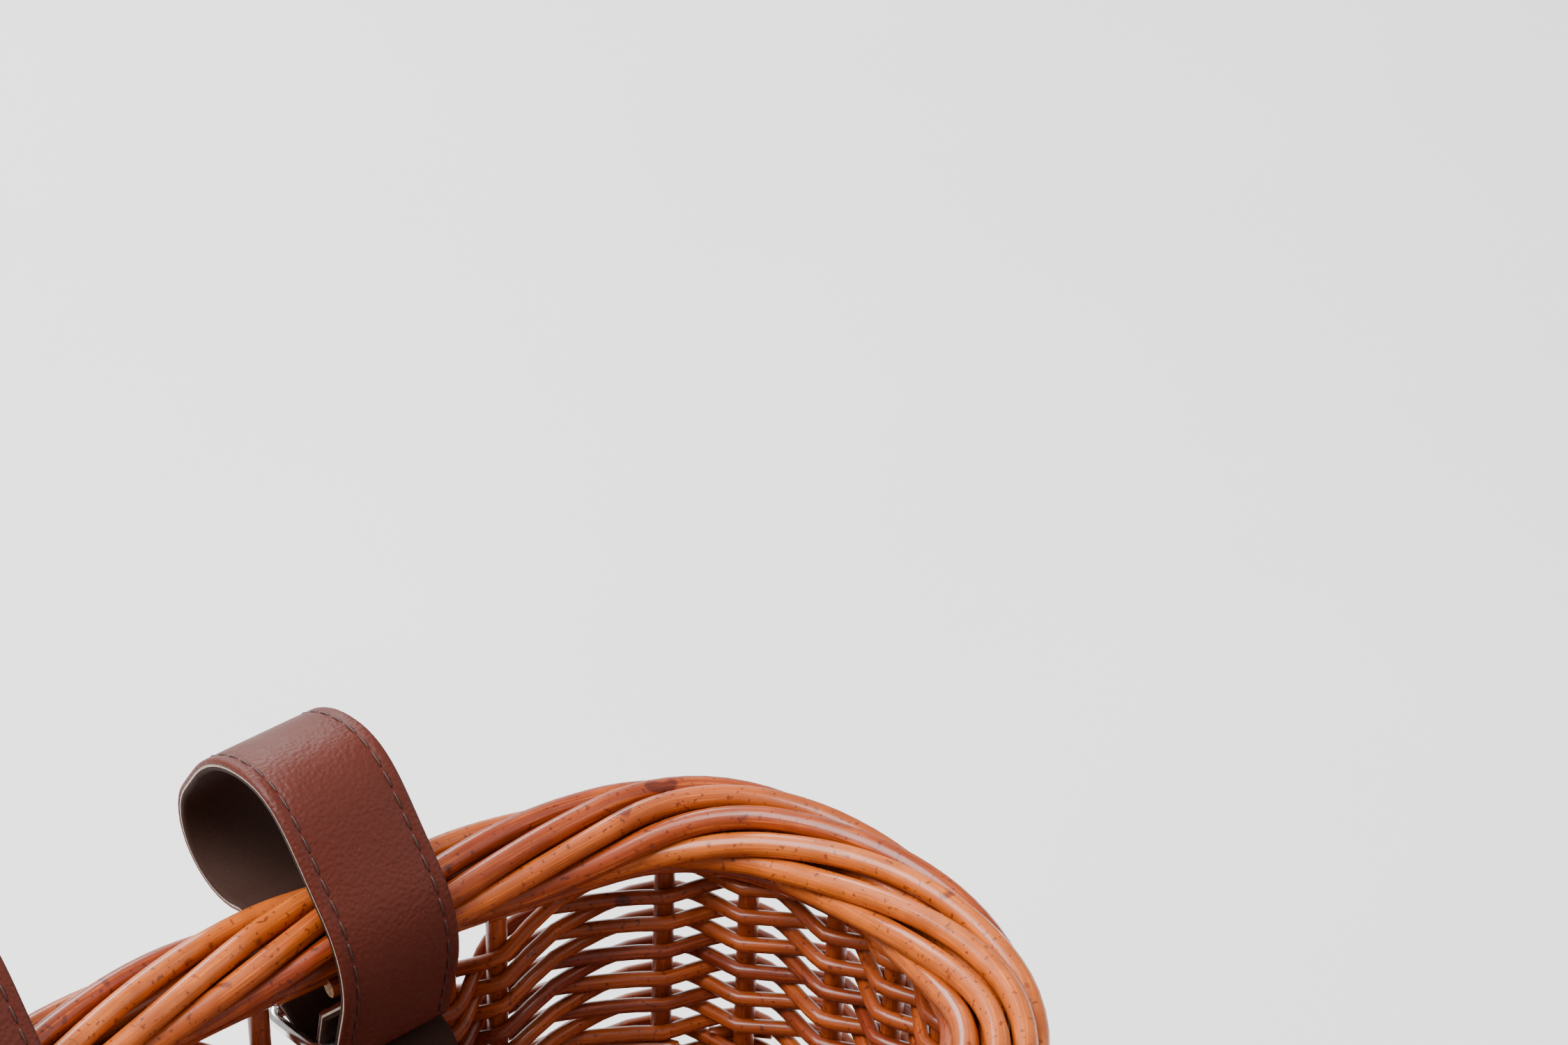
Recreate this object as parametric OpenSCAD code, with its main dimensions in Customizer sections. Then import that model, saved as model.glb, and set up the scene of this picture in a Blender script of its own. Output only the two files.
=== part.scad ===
// Wicker handlebar basket for a child's bicycle, hung from the bar by two leather buckle straps.
// The origin is on the axis of the handlebar, half way between the straps.
// +X runs along the handlebar, -Y is the front of the bicycle and +Z is up.

/* [Basket] */
// Outside length of the border, along the handlebar
rim_length = 262; // [250:2:290]
// Outside depth of the border, front to back
rim_depth = 144; // [140:2:160]
// Height from the foot to the top of the border
height = 150; // [130:5:190]
// How much each end leans in between the border and the base
end_lean = 9; // [0:1:12]
// How much the front and the back lean in between the border and the base
side_lean = 4; // [0:1:6]

/* [Willow] */
// Diameter of a side stake
stake_d = 4; // [3.6:0.1:4.2]
// Diameter of a siding weaver
weaver_d = 2.8; // [2:0.1:2.8]
// Height from one siding row to the next
row_pitch = 3.2; // [3:0.1:3.4]
// Diameter of a border rod
border_rod_d = 4.2; // [3.8:0.1:4.2]
// Diameter of a foot rod
foot_rod_d = 4; // [3.6:0.1:4.2]

/* [Straps] */
// Distance of each strap from the middle of the basket
strap_x = 41; // [38:1:44]
// Width of a strap
strap_w = 25; // [20:1:25]
// Thickness of a strap over all its layers
strap_t = 2.4; // [2:0.1:2.6]
// Diameter of the handlebar that the straps hold
bar_d = 22.2; // [22:0.1:22.4]
// Length of the loose tail beyond the buckle
tail_length = 34; // [30:1:44]

/* [Buckle] */
// Diameter of the buckle wire
wire_d = 2.5; // [2:0.1:2.6]
// Distance between the two cross bars of the buckle
buckle_length = 17; // [16:0.5:18]
// Outside diameter of the roller
roller_d = 4; // [3.8:0.1:4.2]
// Thickness of the tongue
tongue_d = 2; // [1.8:0.1:2.2]

/* [Hidden] */
$fn = 48;
bands = 6;

// Border section: half width, half height, and where its middle lies at the back of the basket
border_hw = 10;
border_hh = 8;
border_y = -19.5;
border_z = -9.6;
border_turns = 7;
border_from = -35;
border_to = 215;
core_d = 5.2;
core_rise = 1;

// Plan outline: an oval of side arcs, corner arcs and end arcs
side_turn = 15.5;
end_turn = 21;
corner_r = 35;

// The wall's middle line at the border, and its centre
wall_a = rim_length / 2 - border_hw;
wall_b = rim_depth / 2 - border_hw;
centre_y = border_y - wall_b;

// Heights
top_z = border_z + border_hh;
foot_z = top_z - height;
stake_r = stake_d / 2;
weaver_r = weaver_d / 2;
foot_r = foot_rod_d / 2;
gap = 0.05;
row_off = stake_r + weaver_r + gap;
slot_top_z = -35;
packing_count = 5;
foot_pitch = foot_rod_d + 0.2;
foot_levels = 3;
first_row_z = foot_z + foot_r + foot_levels * foot_pitch + weaver_r;
row_count = floor((slot_top_z - first_row_z) / row_pitch) + 1;
base_z = foot_z + 5.1;
stake_top_z = border_z + core_rise - core_d / 2 - gap;
stake_foot_z = foot_z + 1;

// Stake places along a quarter of the wall, from the middle of the back or front to the end
slot_half = 19.3;
stake_steps = [strap_x - slot_half, strap_x + slot_half, 71, 104.5, 120.5, 140];

// Strap layers, outwards from the middle of the leather
face_out = strap_t / 2;
face_in = face_out - 0.95;
core_in = face_in - 0.5;
lining_in = -face_out;
bar_r = bar_d / 2;
wire_r = wire_d / 2;
roller_r = roller_d / 2;
fit = 0.05;
butt = 0.01;
lap = 0.02;

function dir(a) = [cos(a), sin(a)];

// ---- Oval outline ----

// Radii of the side and end arcs that close an oval of half length a, half depth b, corner radius c
function oval_det() = sin(side_turn) * sin(end_turn) - (1 - cos(end_turn)) * (1 - cos(side_turn));
function oval_x(a, c) = a - c * cos(end_turn) + c * sin(side_turn);
function oval_y(b, c) = b - c * cos(side_turn) + c * sin(end_turn);
function side_r(a, b, c) =
    (oval_x(a, c) * sin(end_turn) - oval_y(b, c) * (1 - cos(end_turn))) / oval_det();
function end_r(a, b, c) =
    (oval_y(b, c) * sin(side_turn) - oval_x(a, c) * (1 - cos(side_turn))) / oval_det();

// A round rod along an arc of radius r about the Z axis, from angle a1 to angle a2.
// joint is the gap that it leaves at each end.
module rod_arc(r, rod_r, a1, a2, joint = 0) {
    cut = joint / r * 180 / PI;
    rotate([0, 0, a1 + cut])
        rotate_extrude(angle = a2 - a1 - 2 * cut)
            translate([r, 0]) circle(rod_r);
}

// A rod laid all round an oval in lengths that meet end to end
module oval_rod(a, b, c, rod_r) {
    rs = side_r(a, b, c);
    re = end_r(a, b, c);
    cx = (rs - c) * sin(side_turn);
    cy = b - rs + (rs - c) * cos(side_turn);
    union() {
        for (m = [0, 1]) mirror([0, m, 0]) {
            for (from = [90 - side_turn, 90])
                translate([0, b - rs, 0]) rod_arc(rs, rod_r, from, from + side_turn, butt);
            for (n = [0, 1]) mirror([n, 0, 0])
                translate([cx, cy, 0]) rod_arc(c, rod_r, end_turn, 90 - side_turn, butt);
        }
        for (n = [0, 1]) mirror([n, 0, 0])
            translate([a - re, 0, 0]) rod_arc(re, rod_r, -end_turn, end_turn, butt);
    }
}

// How far down the wall a height lies: 0 at the border, 1 at the foot
function down(z) = (border_z - z) / (border_z - foot_z);
function lean_a(z) = wall_a - end_lean * down(z);
function lean_b(z) = wall_b - side_lean * down(z);

// A rod all round the wall at height z, off outside the middle line
module wall_rod(z, off, rod_r) {
    translate([0, centre_y, z])
        oval_rod(lean_a(z) + off, lean_b(z) + off, corner_r + off, rod_r);
}

// The point s along a quarter of the wall, measured on the border's middle line, at height z
function wall_point(s, z) =
    let (a = lean_a(z), b = lean_b(z), c = corner_r)
    let (top_rs = side_r(wall_a, wall_b, c), rs = side_r(a, b, c), re = end_r(a, b, c))
    let (side_len = top_rs * side_turn * PI / 180)
    let (corner_len = c * (90 - side_turn - end_turn) * PI / 180)
    s <= side_len
        ? [rs * sin(side_turn * s / side_len), b - rs + rs * cos(side_turn * s / side_len)]
        : s <= side_len + corner_len
            ? [(rs - c) * sin(side_turn), b - rs + (rs - c) * cos(side_turn)]
                + c * dir(90 - side_turn - (s - side_len) / c * 180 / PI)
            : [a - re, 0] + re * dir(end_turn
                - (s - side_len - corner_len) / end_r(wall_a, wall_b, c) * 180 / PI);

// ---- Basket ----

module stake(p, q) {
    v = [q.x - p.x, q.y - p.y, stake_top_z - stake_foot_z];
    translate([p.x, p.y + centre_y, stake_foot_z])
        rotate([0, acos(v.z / norm(v)), atan2(v.y, v.x)])
            cylinder(r = stake_r, h = norm(v));
}

module side_stakes() {
    color("saddlebrown") {
        for (m = [-1, 1]) {
            low = wall_point(0, stake_foot_z);
            high = wall_point(0, stake_top_z);
            stake([0, m * low.y], [0, m * high.y]);
            stake([m * lean_a(stake_foot_z), 0], [m * lean_a(stake_top_z), 0]);
        }
        for (s = stake_steps, m = [-1, 1], n = [-1, 1]) {
            low = wall_point(s, stake_foot_z);
            high = wall_point(s, stake_top_z);
            stake([n * low.x, m * low.y], [n * high.x, m * high.y]);
        }
    }
}

// Row i counts from the foot; even rows run outside the stakes and odd rows inside
module siding_row(i) {
    wall_rod(first_row_z + i * row_pitch, i % 2 == 0 ? row_off : -row_off, weaver_r);
}

module siding_band(k) {
    color("sienna")
        for (i = [floor((k - 1) * row_count / bands) : floor(k * row_count / bands) - 1]) siding_row(i);
}

// Rows between the siding and the border, left open where the straps pass
module packing_rows() {
    open_w = 2 * (slot_half - stake_r - 0.6);
    color("sienna")
        for (i = [row_count : row_count + packing_count - 1])
            difference() {
                siding_row(i);
                for (m = [-1, 1])
                    translate([m * strap_x - open_w / 2, centre_y, border_z - height])
                        cube([open_w, rim_depth, height]);
            }
}

module border_core() {
    color("peru") wall_rod(border_z + core_rise, 0, core_d / 2);
}

module border_rod(k) {
    t = border_from + (k - 1) * (border_to - border_from) / (border_turns - 1);
    u = (border_hw - border_rod_d / 2) * cos(t);
    w = (border_hh - border_rod_d / 2) * sin(t);
    color("peru")
        translate([0, centre_y, border_z + w])
            oval_rod(wall_a + u, wall_b + u, corner_r + u, border_rod_d / 2);
}

module foot_rods() {
    color("sienna")
        for (i = [0 : foot_levels - 1], m = [-1, 1])
            wall_rod(foot_z + foot_r + i * foot_pitch, m * (stake_r + foot_r + gap), foot_r);
}

base_stick_r = 2.2;
base_a = lean_a(base_z) - stake_r - foot_rod_d - gap - 0.3;
base_b = lean_b(base_z) - stake_r - foot_rod_d - gap - 0.3;
long_stick_y = 13;
cross_count = 7;
cross_pitch = 26;

module long_stick_bars(r) {
    for (i = [-1 : 1]) {
        reach = i == 0 ? base_a : base_a - 4;
        translate([-reach, i * long_stick_y, 0])
            rotate([0, 90, 0]) cylinder(r = r, h = 2 * reach);
    }
}

module base_long_sticks() {
    color("saddlebrown")
        translate([0, centre_y, base_z]) long_stick_bars(base_stick_r - 0.6);
}

// The cross sticks are pierced, and the long sticks are threaded through them
module base_cross_sticks() {
    color("saddlebrown")
        translate([0, centre_y, base_z])
            for (i = [-(cross_count - 1) / 2 : (cross_count - 1) / 2]) {
                x = i * cross_pitch;
                reach = base_b - pow(abs(i), 3) * 0.55;
                difference() {
                    translate([x, reach, 0])
                        rotate([90, 0, 0]) cylinder(r = base_stick_r, h = 2 * reach);
                    long_stick_bars(base_stick_r - 0.6 + fit);
                }
            }
}

base_rings = 10;
module base_weavers() {
    color("sienna")
        for (i = [0 : base_rings - 1]) {
            f = 0.28 + 0.66 * i / (base_rings - 1);
            lift = (i % 2 == 0 ? 1 : -1) * (base_stick_r + weaver_r + gap);
            translate([0, centre_y, base_z + lift])
                oval_rod(base_a * f, base_b * f, corner_r * 0.8 * f, weaver_r);
        }
}

// ---- Strap path, seen along the handlebar: first value towards the rider, second value up ----

// Middle of the buckle's fixed bar, and the slope of the strap as it passes through the buckle
fixed_bar = [-31.5, -27.5];
pass_angle = 204;
wrap_r = wire_r + 0.1 + strap_t / 2;
pass_side = dir(pass_angle + 90);
below_wrap = wrap_r + strap_t + 0.25;
over_roller = roller_r + strap_t / 2 + 0.1;
pass_point = fixed_bar + below_wrap * pass_side;
pass_run = sqrt(pow(buckle_length, 2) - pow(below_wrap + over_roller, 2));
roller_bar = pass_point + over_roller * pass_side - pass_run * dir(pass_angle);
buckle_angle = atan2(roller_bar.y - fixed_bar.y, roller_bar.x - fixed_bar.x);

// Headings along the path
fold_heading = 283;
front_heading = 105;
slope_heading = 51;
crown_heading = -15;
bar_heading = -55;
leave_heading = 160;
back_heading = 255;
tail_heading = 262;

fold_len = 7;
short_len = 0.5;
front_len = 13;
bulge_r = 22;
crown_r = 11;
back_r = 6;
drop_len = 12.5;
round_bar_r = bar_r + strap_t / 2;
reverse_r = 4;
turn_r = 3.5;
hang_r = 6;

// Displacement along an arc that turns by t, to the left when positive
function arc_move(h, t, r) =
    let (s = sign(t))
    s * r * [sin(h + t) - sin(h), cos(h) - cos(h + t)];

// How far along directions u and v the vector d reaches
function along(d, u, v) =
    let (det = u.x * v.y - u.y * v.x)
    [(d.x * v.y - d.y * v.x) / det, (u.x * d.y - u.y * d.x) / det];

// The slope and crown lengths close the front of the loop onto the handlebar
front_start = fixed_bar + wrap_r * dir(front_heading + 90);
slope_start = front_start + front_len * dir(front_heading)
    + arc_move(front_heading, slope_heading - front_heading, bulge_r);
crown_move = arc_move(slope_heading, crown_heading - slope_heading, crown_r);
bar_contact = round_bar_r * dir(bar_heading + 90);
back_start = bar_contact - drop_len * dir(bar_heading)
    - arc_move(crown_heading, bar_heading - crown_heading, back_r);
front_fit = along(back_start - slope_start - crown_move, dir(slope_heading), dir(crown_heading));

// The back run meets the slope through the buckle
back_run_start = round_bar_r * dir(leave_heading + 90) + short_len * dir(leave_heading)
    + arc_move(leave_heading, back_heading - leave_heading, reverse_r);
corner_cut = turn_r * tan((back_heading - pass_angle) / 2);
back_fit = along(pass_point - back_run_start, dir(back_heading), dir(pass_angle));
pass_past = 4;

// Each piece of the path is [turn, radius], or [0, length] where it is straight
PATH = [
    [0, fold_len],
    [front_heading - fold_heading, wrap_r],
    [0, front_len],
    [slope_heading - front_heading, bulge_r],
    [0, front_fit[0]],
    [crown_heading - slope_heading, crown_r],
    [0, front_fit[1]],
    [bar_heading - crown_heading, back_r],
    [0, drop_len],
    [leave_heading - 360 - bar_heading, round_bar_r],
    [0, short_len],
    [back_heading - leave_heading, reverse_r],
    [0, back_fit[0] - corner_cut],
    [pass_angle - back_heading, turn_r],
    [0, back_fit[1] - corner_cut + pass_past],
    [tail_heading - pass_angle, hang_r],
    [0, tail_length]
];
PASS = 14;
TAIL = 16;
path_start = fixed_bar + wrap_r * dir(fold_heading + 90) - fold_len * dir(fold_heading);

// Place and heading after one piece, and after the first n pieces
function move_on(s, p) =
    let (d = p[0] == 0 ? p[1] * dir(s[2]) : arc_move(s[2], p[0], p[1]))
    [s[0] + d.x, s[1] + d.y, s[2] + p[0]];
function state(n) = n == 0 ? [path_start.x, path_start.y, fold_heading] : move_on(state(n - 1), PATH[n - 1]);

// Turns a shape drawn in the strap's side view upright and to its place along the handlebar
module at_strap(side) {
    translate([side * strap_x, 0, 0]) rotate([90, 0, 90]) children();
}

// How much the strap draws in on each side where it bends
bend_thin = 0.02;

// One piece of the path as a band between two offsets from its middle line, w wide about wz
module path_piece(i, low, high, w, wz) {
    s = state(i);
    turn = PATH[i][0];
    size = PATH[i][1];
    if (turn == 0)
        translate([s[0], s[1], wz]) rotate([0, 0, s[2]])
            translate([-lap, low, -w / 2]) cube([size + 2 * lap, high - low, w]);
    else {
        way = sign(turn);
        centre = [s[0], s[1]] + size * dir(s[2] + 90 * way);
        from = way > 0 ? s[2] - 90 : s[2] + 90 + turn;
        inner = (way > 0 ? size - high : size + low) + bend_thin;
        translate([centre.x, centre.y, wz]) rotate([0, 0, from])
            rotate_extrude(angle = abs(turn))
                translate([inner, bend_thin - w / 2])
                    square([high - low - 2 * bend_thin, w - 2 * bend_thin]);
    }
}

// A round hole through the strap, d along straight piece i, sideways drilled along its normal
module strap_hole(i, d, r) {
    s = state(i);
    p = [s[0], s[1]] + d * dir(s[2]);
    translate([p.x, p.y, 0]) rotate([0, 0, s[2]])
        rotate([90, 0, 0]) cylinder(r = r, h = 4 * strap_t, center = true);
}

hole_r = 1.6;
slot_len = 6.4;
tongue_meet = 7.95;
hole_pitch = 10;

// The slot that the tongue goes through, where it crosses the strap
module tongue_slot() {
    s = state(PASS);
    angle = atan2(tongue_tip.y - fixed_bar.y, tongue_tip.x - fixed_bar.x);
    cross = fixed_bar + tongue_meet * dir(angle);
    d = (cross - [s[0], s[1]]) * dir(s[2]);
    strap_hole(PASS, d - slot_len / 2, hole_r);
    strap_hole(PASS, d + slot_len / 2, hole_r);
    translate([s[0], s[1], 0]) rotate([0, 0, s[2]])
        translate([d, 0, 0]) cube([slot_len, 4 * strap_t, 2 * hole_r], center = true);
}

tongue_tip = roller_bar + (roller_r + tongue_d / 2 + 0.3) * dir(buckle_angle - 90)
    + 1.2 * dir(buckle_angle);
tongue_ring_w = 3.4;

module strap_layer(side, low, high) {
    at_strap(side)
        difference() {
            union() {
                for (i = [0 : TAIL - 1]) path_piece(i, low, high, strap_w, 0);
                intersection() {
                    path_piece(TAIL, low, high, strap_w, 0);
                    union() {
                        s = state(TAIL);
                        translate([s[0], s[1], 0]) rotate([0, 0, s[2]]) {
                            translate([0, -5, -strap_w / 2])
                                cube([tail_length - strap_w / 2, 10, strap_w]);
                            translate([tail_length - strap_w / 2, 5, 0])
                                rotate([90, 0, 0]) cylinder(r = strap_w / 2, h = 10);
                        }
                    }
                }
            }
            translate([fixed_bar.x, fixed_bar.y, 0])
                cylinder(r = wrap_r + strap_t, h = tongue_ring_w + 1.2, center = true);
            tongue_slot();
            for (i = [0 : 1]) strap_hole(TAIL, 8 + i * hole_pitch, hole_r);
        }
}

module strap_face(side) {
    color([0.48, 0.22, 0.16]) strap_layer(side, face_in, face_out);
}

module strap_core(side) {
    color([0.85, 0.82, 0.78]) strap_layer(side, core_in, face_in);
}

module strap_lining(side) {
    color([0.24, 0.13, 0.07]) strap_layer(side, lining_in, core_in);
}

// Two rows of thread along the face, from the front run round to the buckle
thread_w = 0.8;
thread_rise = 0.25;
thread_in = 2.6;
module strap_thread(side) {
    color([0.2, 0.09, 0.06])
        at_strap(side)
            for (m = [-1, 1])
                union() for (i = [2 : 12])
                    path_piece(i, face_out, face_out + thread_rise, thread_w,
                        m * (strap_w / 2 - thread_in));
}

// A leather loop that slides along the tail
keeper_len = 7;
keeper_at = 1.5;
keeper_wall = 1.6;
keeper_fit = 0.35;
module keeper(side) {
    s = state(TAIL);
    in_t = strap_t + 2 * keeper_fit;
    in_w = strap_w + 2 * keeper_fit;
    color([0.42, 0.19, 0.14])
        at_strap(side)
            translate([s[0], s[1], 0]) rotate([0, 0, s[2]])
                translate([keeper_at + keeper_len / 2, 0, 0])
                    difference() {
                        cube([keeper_len, in_t + 2 * keeper_wall, in_w + 2 * keeper_wall], center = true);
                        cube([keeper_len + 1, in_t, in_w], center = true);
                    }
}

// ---- Buckle, drawn along its own length from the fixed bar ----

rail_w = 2.4;
rail_r = 1.6;
rail_in = strap_w / 2 + 0.25;

module at_buckle(side) {
    at_strap(side)
        translate([fixed_bar.x, fixed_bar.y, 0]) rotate([0, 0, buckle_angle]) children();
}

// Two side rails joined by the fixed bar and the far bar
module buckle_frame(side) {
    color("silver")
        at_buckle(side)
            union() {
                for (x = [0, buckle_length])
                    translate([x, 0, 0])
                        cylinder(r = wire_r, h = 2 * rail_in + rail_w, center = true);
                for (m = [0, 1]) mirror([0, 0, m])
                    translate([0, 0, rail_in]) {
                        for (x = [0, buckle_length])
                            translate([x, 0, 0]) cylinder(r = rail_r, h = rail_w);
                        translate([0, -rail_r, 0]) cube([buckle_length, 2 * rail_r, rail_w]);
                    }
            }
}

module buckle_roller(side) {
    color("gainsboro")
        at_buckle(side)
            translate([buckle_length, 0, 0])
                difference() {
                    cylinder(r = roller_r, h = 2 * rail_in - 0.8, center = true);
                    cylinder(r = wire_r + fit, h = strap_w * 2, center = true);
                }
}

module buckle_tongue(side) {
    reach = tongue_tip - fixed_bar;
    color("silver")
        at_strap(side)
            translate([fixed_bar.x, fixed_bar.y, 0]) rotate([0, 0, atan2(reach.y, reach.x)])
                difference() {
                    union() {
                        cylinder(r = wire_r + 1.2, h = tongue_ring_w, center = true);
                        rotate([0, 90, 0]) cylinder(r = tongue_d / 2, h = norm(reach));
                        translate([norm(reach), 0, 0]) sphere(tongue_d / 2);
                    }
                    cylinder(r = wire_r + fit, h = 2 * tongue_ring_w, center = true);
                }
}

base_long_sticks();
base_cross_sticks();
base_weavers();
foot_rods();
side_stakes();
for (k = [1 : bands])
    siding_band(k);
packing_rows();
border_core();
for (k = [1 : border_turns])
    border_rod(k);
for (side = [["left", -1], ["right", 1]]) {
    strap_face(side[1]);
    strap_core(side[1]);
    strap_lining(side[1]);
    strap_thread(side[1]);
    keeper(side[1]);
    buckle_frame(side[1]);
    buckle_roller(side[1]);
    buckle_tongue(side[1]);
}
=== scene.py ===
"""Wicker handlebar basket with two leather buckle straps, woven and stitched around its fixed frame."""
import math
import random

import bmesh
import bpy
from bpy.props import FloatProperty, FloatVectorProperty, IntProperty, PointerProperty
from mathutils import Matrix, Vector, noise


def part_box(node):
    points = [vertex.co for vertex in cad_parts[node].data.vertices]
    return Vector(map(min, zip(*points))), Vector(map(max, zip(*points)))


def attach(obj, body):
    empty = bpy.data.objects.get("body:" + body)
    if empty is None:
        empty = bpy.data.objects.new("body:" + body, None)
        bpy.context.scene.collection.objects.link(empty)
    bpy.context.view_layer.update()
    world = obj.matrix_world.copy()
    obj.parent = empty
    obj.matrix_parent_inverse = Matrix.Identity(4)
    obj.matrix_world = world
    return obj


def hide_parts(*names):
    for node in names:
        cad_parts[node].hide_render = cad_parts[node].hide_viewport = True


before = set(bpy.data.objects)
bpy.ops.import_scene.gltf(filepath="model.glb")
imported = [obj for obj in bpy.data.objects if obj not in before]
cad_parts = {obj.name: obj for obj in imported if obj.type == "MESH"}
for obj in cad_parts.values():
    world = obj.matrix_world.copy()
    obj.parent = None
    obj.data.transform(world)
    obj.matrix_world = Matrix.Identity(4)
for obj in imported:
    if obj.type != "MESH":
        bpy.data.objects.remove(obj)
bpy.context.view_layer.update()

bl_info = {
    "name": "Wicker Handlebar Basket",
    "version": (1, 0, 0),
    "blender": (4, 5, 0),
    "location": "View3D > Sidebar > Basket",
    "description": "Weaves a wicker bicycle basket and buckles it to its handlebar with leather straps",
    "category": "Add Mesh",
}

MM = 0.001
UP = Vector((0, 0, 1))
SIDES = (("left", -1), ("right", 1))


# ---- Places taken from the frame ----

def node_size(node):
    low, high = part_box(node)
    return high - low


def node_centre(node):
    low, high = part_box(node)
    return (low + high) / 2


CORE_R = node_size("border_core").z / 2
WALL_A = node_size("border_core").x / 2 - CORE_R
WALL_B = node_size("border_core").y / 2 - CORE_R
CENTRE_Y = node_centre("border_core").y
BORDER_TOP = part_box("border_rod_4")[1].z
BORDER_GROUPS = 7
BORDER_BOTTOM = min(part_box("border_rod_%d" % (k + 1))[0].z for k in range(BORDER_GROUPS))
BORDER_HALF_HEIGHT = 8 * MM
BORDER_HALF_WIDTH = 10 * MM
BORDER_Z = BORDER_TOP - BORDER_HALF_HEIGHT
FOOT_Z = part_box("foot_rods")[0].z
FOOT_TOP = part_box("foot_rods")[1].z
STRAP_X = node_centre("right_strap_face").x
STRAP_W = node_size("right_strap_face").x

# Outline of the wall: shallow arcs along the sides and ends, tight arcs at the corners
SIDE_TURN = math.radians(15.5)
END_TURN = math.radians(21)
CORNER_R = 35 * MM
END_LEAN = 9 * MM
SIDE_LEAN = 4 * MM
STAKE_R = 2 * MM
STAKE_GAP = 0.05 * MM
SLOT_HALF = 19.3 * MM
BANDS = 6
BAND_ROWS = 32
PACKING_ROWS = 5
ROWS = BAND_ROWS + PACKING_ROWS


def arc_radii(a, b, c):
    """Radii of the side and end arcs that close an oval of half length a, half depth b, corner c."""
    x = a - c * math.cos(END_TURN) + c * math.sin(SIDE_TURN)
    y = b - c * math.cos(SIDE_TURN) + c * math.sin(END_TURN)
    flat_side = 1 - math.cos(SIDE_TURN)
    flat_end = 1 - math.cos(END_TURN)
    scale = math.sin(SIDE_TURN) * math.sin(END_TURN) - flat_end * flat_side
    side = (x * math.sin(END_TURN) - y * flat_end) / scale
    end = (y * math.sin(SIDE_TURN) - x * flat_side) / scale
    return side, end


TOP_SIDE_R, TOP_END_R = arc_radii(WALL_A, WALL_B, CORNER_R)
SIDE_LEN = TOP_SIDE_R * SIDE_TURN
CORNER_LEN = CORNER_R * (math.pi / 2 - SIDE_TURN - END_TURN)
QUARTER = SIDE_LEN + CORNER_LEN + TOP_END_R * END_TURN
AROUND = 4 * QUARTER


def quarter_point(s, a, b, c):
    """Point, and direction of the outward normal, at s along a quarter from the back's middle."""
    side_r, end_r = arc_radii(a, b, c)
    if s <= SIDE_LEN:
        turn = math.pi / 2 - SIDE_TURN * s / SIDE_LEN
        centre = Vector((0, b - side_r))
        r = side_r
    elif s <= SIDE_LEN + CORNER_LEN:
        turn = math.pi / 2 - SIDE_TURN - (s - SIDE_LEN) / CORNER_R
        inset = side_r - c
        centre = Vector((inset * math.sin(SIDE_TURN), b - side_r + inset * math.cos(SIDE_TURN)))
        r = c
    else:
        turn = END_TURN - (s - SIDE_LEN - CORNER_LEN) / TOP_END_R
        centre = Vector((a - end_r, 0))
        r = end_r
    normal = Vector((math.cos(turn), math.sin(turn)))
    return centre + r * normal, normal


def oval_point(t, z, off, a, b, c):
    """Point off outside an oval at height z, and the normal there.
    t runs clockwise from the back's middle."""
    t = t % AROUND
    quadrant = int(t // QUARTER)
    s = t - quadrant * QUARTER
    if quadrant % 2:
        s = QUARTER - s
    point, normal = quarter_point(s, a, b, c)
    flip_x = -1 if quadrant in (2, 3) else 1
    flip_y = -1 if quadrant in (1, 2) else 1
    point = point + off * normal
    centre = Vector((0, CENTRE_Y, z))
    return (centre + Vector((flip_x * point.x, flip_y * point.y, 0)),
            Vector((flip_x * normal.x, flip_y * normal.y, 0)))


def wall_point(t, z, off):
    """Point off outside the wall's middle line at height z, where the wall leans in towards the foot."""
    down = (BORDER_Z - z) / (BORDER_Z - FOOT_Z)
    return oval_point(t, z, off, WALL_A - END_LEAN * down, WALL_B - SIDE_LEAN * down, CORNER_R)


def stake_places():
    """Places of the stakes along the border's middle line, clockwise from the back's middle."""
    steps = [STRAP_X - SLOT_HALF, STRAP_X + SLOT_HALF, 71 * MM, 104.5 * MM, 120.5 * MM, 140 * MM]
    half = [0] + steps + [QUARTER] + [2 * QUARTER - s for s in reversed(steps)]
    return half + [2 * QUARTER + s for s in half]


STAKES = stake_places()


def place_of(phase):
    """Place along the border of a count of stakes, which may lie between two of them."""
    n = int(phase // 1)
    low = STAKES[n % len(STAKES)]
    high = STAKES[(n + 1) % len(STAKES)]
    if high < low:
        high += AROUND
    return low + (high - low) * (phase - n)


def smooth(low, high, value):
    """0 below low, 1 above high and a soft step between them."""
    x = min(1, max(0, (value - low) / (high - low)))
    return x * x * (3 - 2 * x)


def drift(value, seed):
    """A slow wander between about -1 and 1 along a rod."""
    return noise.noise(Vector((value, seed * 7.3, 0.5))) * 1.6


# ---- Settings ----

def length_property(name, description, default, low, high):
    """A small length, given in millimetres."""
    return FloatProperty(name=name, description=description, default=default * MM,
                         min=low * MM, max=high * MM, unit="LENGTH", precision=4)


class BasketSizes(bpy.types.PropertyGroup):
    """Sizes of the willow rods and of the straps"""

    weaver_d: length_property("Weaver", "Diameter of the siding's weavers", 2.95, 1, 4)
    border_d: length_property("Border rod", "Diameter of the rods rolled round the border", 4.8, 2, 6)
    border_strands: IntProperty(
        name="Border strands", description="Rods side by side round the border's section",
        default=8, min=5, max=12)
    foot_d: length_property("Foot rod", "Diameter of the twined rods round the foot", 3.0, 1, 4)
    base_pitch: length_property("Base pitch", "Distance between the weavers of the base", 3.7, 2.6, 8)
    stitch_pitch: length_property("Stitch", "Distance from one stitch to the next", 4.1, 2, 8)


def colour_property(name, description, default):
    return FloatVectorProperty(name=name, description=description, default=default,
                               min=0, max=1, size=3, subtype="COLOR")


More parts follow.
